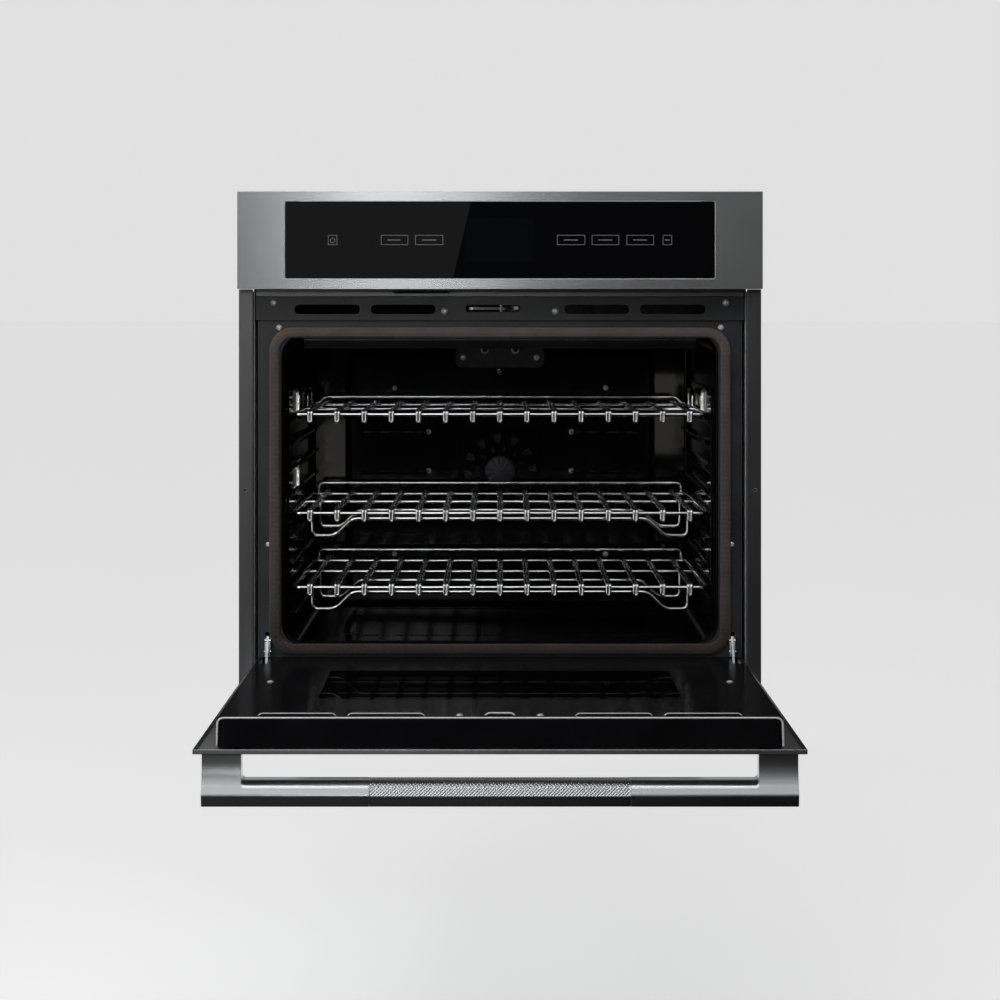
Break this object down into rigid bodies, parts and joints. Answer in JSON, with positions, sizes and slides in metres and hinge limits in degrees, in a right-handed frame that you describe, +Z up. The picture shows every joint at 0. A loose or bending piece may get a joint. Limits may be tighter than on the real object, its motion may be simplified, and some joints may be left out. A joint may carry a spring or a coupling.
{
  "type": "built-in wall oven",
  "caption": "Built-in electric wall oven: control panel with a glass front, drop-down door with a full-width handle, chrome racks in a black enamelled cavity.",
  "frame": {"origin": "centre of the underside of the base pan, where the oven rests on the cabinet shelf", "axes": "+Z up, +Y from the door to the back of the cabinet, +X to the right seen from the front"},
  "size_m": [0.7596, 1.177, 0.786],
  "materials": {
    "stainless": "horizontally brushed stainless steel",
    "trim_steel": "dark satin stainless trim",
    "galvanised": "galvanised sheet, faint spangle",
    "dark_enamel": "dark grey semi-gloss enamel",
    "black_enamel": "glossy black porcelain enamel",
    "chrome_wire": "bright chrome plating",
    "black_glass": "black gloss glass",
    "clear_glass": "clear heat-resistant glass",
    "gasket_braid": "woven glass-fibre braid, taupe grey",
    "glass_wool": "loose glass wool",
    "element_steel": "dark oxidised steel of the heating elements and the fan",
    "motor_iron": "black laminated motor body",
    "circuit_board": "green solder mask",
    "black_plastic": "black moulded plastic"
  },
  "bodies": {
    "cabinet": {"base_pan": "galvanised", "rear_panel": "galvanised", "top_cover": "galvanised", "left_side_panel": "galvanised", "right_side_panel": "galvanised", "bottom_trim": "trim_steel", "upper_rail": "trim_steel", "left_trim": "trim_steel", "right_trim": "trim_steel", "vent_strip": "dark_enamel", "cavity_front_frame": "dark_enamel", "cavity_wrapper": "black_enamel", "cavity_back_panel": "black_enamel", "fan_baffle": "black_enamel", "rack_guide_left": "black_enamel", "rack_guide_right": "black_enamel", "insulation_blanket": "glass_wool", "door_gasket": "gasket_braid", "hinge_receiver_left": "galvanised", "hinge_receiver_right": "galvanised", "hinge_arm_left": "galvanised", "hinge_arm_right": "galvanised", "temperature_probe": "chrome_wire", "convection_element": "element_steel", "broil_element": "element_steel", "bake_element": "element_steel", "convection_fan_motor": "motor_iron", "blower_motor": "motor_iron", "lamp_left_upper": "clear_glass", "lamp_left_lower": "clear_glass", "lamp_right_upper": "clear_glass", "plenum_plate": "galvanised", "blower_housing": "galvanised", "latch_base": "galvanised", "junction_box": "galvanised", "control_fascia": "stainless", "control_glass": "black_glass", "display_board": "circuit_board", "door_switch": "black_plastic", "conduit_gland": "black_plastic"},
    "door": {"hinge_channel_left": "galvanised", "hinge_channel_right": "galvanised", "door_outer_panel": "stainless", "door_window_glass": "black_glass", "door_middle_glass": "clear_glass", "door_inner_glass": "black_glass", "door_glass_frame": "galvanised", "door_liner": "black_enamel", "door_insulation": "glass_wool", "handle_bar": "stainless", "handle_grip": "stainless"},
    "upper_rack": {"rack_upper": "chrome_wire"},
    "middle_rack": {"rack_middle": "chrome_wire", "rack_middle_frame": "chrome_wire"},
    "lower_rack": {"rack_lower": "chrome_wire", "rack_lower_frame": "chrome_wire"},
    "convection_fan": {"convection_fan": "element_steel"},
    "cooling_blower": {"blower_wheel": "galvanised"},
    "latch": {"latch_hook": "chrome_wire"},
    "door_plunger": {"door_switch_plunger": "black_plastic"}
  },
  "joints": [
    {"name": "door_hinge", "type": "hinge", "parent": "cabinet", "child": "door", "pos_m": [0, -0.324, 0.037], "axis": [-1, 0, 0], "range_deg": [0, 90]},
    {"name": "upper_rack_slide", "type": "slide", "parent": "cabinet", "child": "upper_rack", "axis": [0, 1, 0], "range_m": [-0.3, 0]},
    {"name": "middle_rack_slide", "type": "slide", "parent": "cabinet", "child": "middle_rack", "axis": [0, 1, 0], "range_m": [-0.3, 0]},
    {"name": "lower_rack_slide", "type": "slide", "parent": "cabinet", "child": "lower_rack", "axis": [0, 1, 0], "range_m": [-0.3, 0]},
    {"name": "convection_fan_spin", "type": "hinge", "parent": "cabinet", "child": "convection_fan", "pos_m": [0, 0.183, 0.3], "axis": [0, 1, 0], "continuous": true},
    {"name": "blower_spin", "type": "hinge", "parent": "cabinet", "child": "cooling_blower", "pos_m": [0, -0.1, 0.63], "axis": [1, 0, 0], "continuous": true},
    {"name": "latch_swing", "type": "hinge", "parent": "cabinet", "child": "latch", "pos_m": [0.002, -0.26, 0.565], "axis": [0, 0, 1], "range_deg": [0, 56.6]},
    {"name": "door_switch_press", "type": "slide", "parent": "cabinet", "child": "door_plunger", "axis": [0, 1, 0], "range_m": [0, 0.004], "stiffness_N_per_m": 300, "springref_m": -0.002}
  ]
}
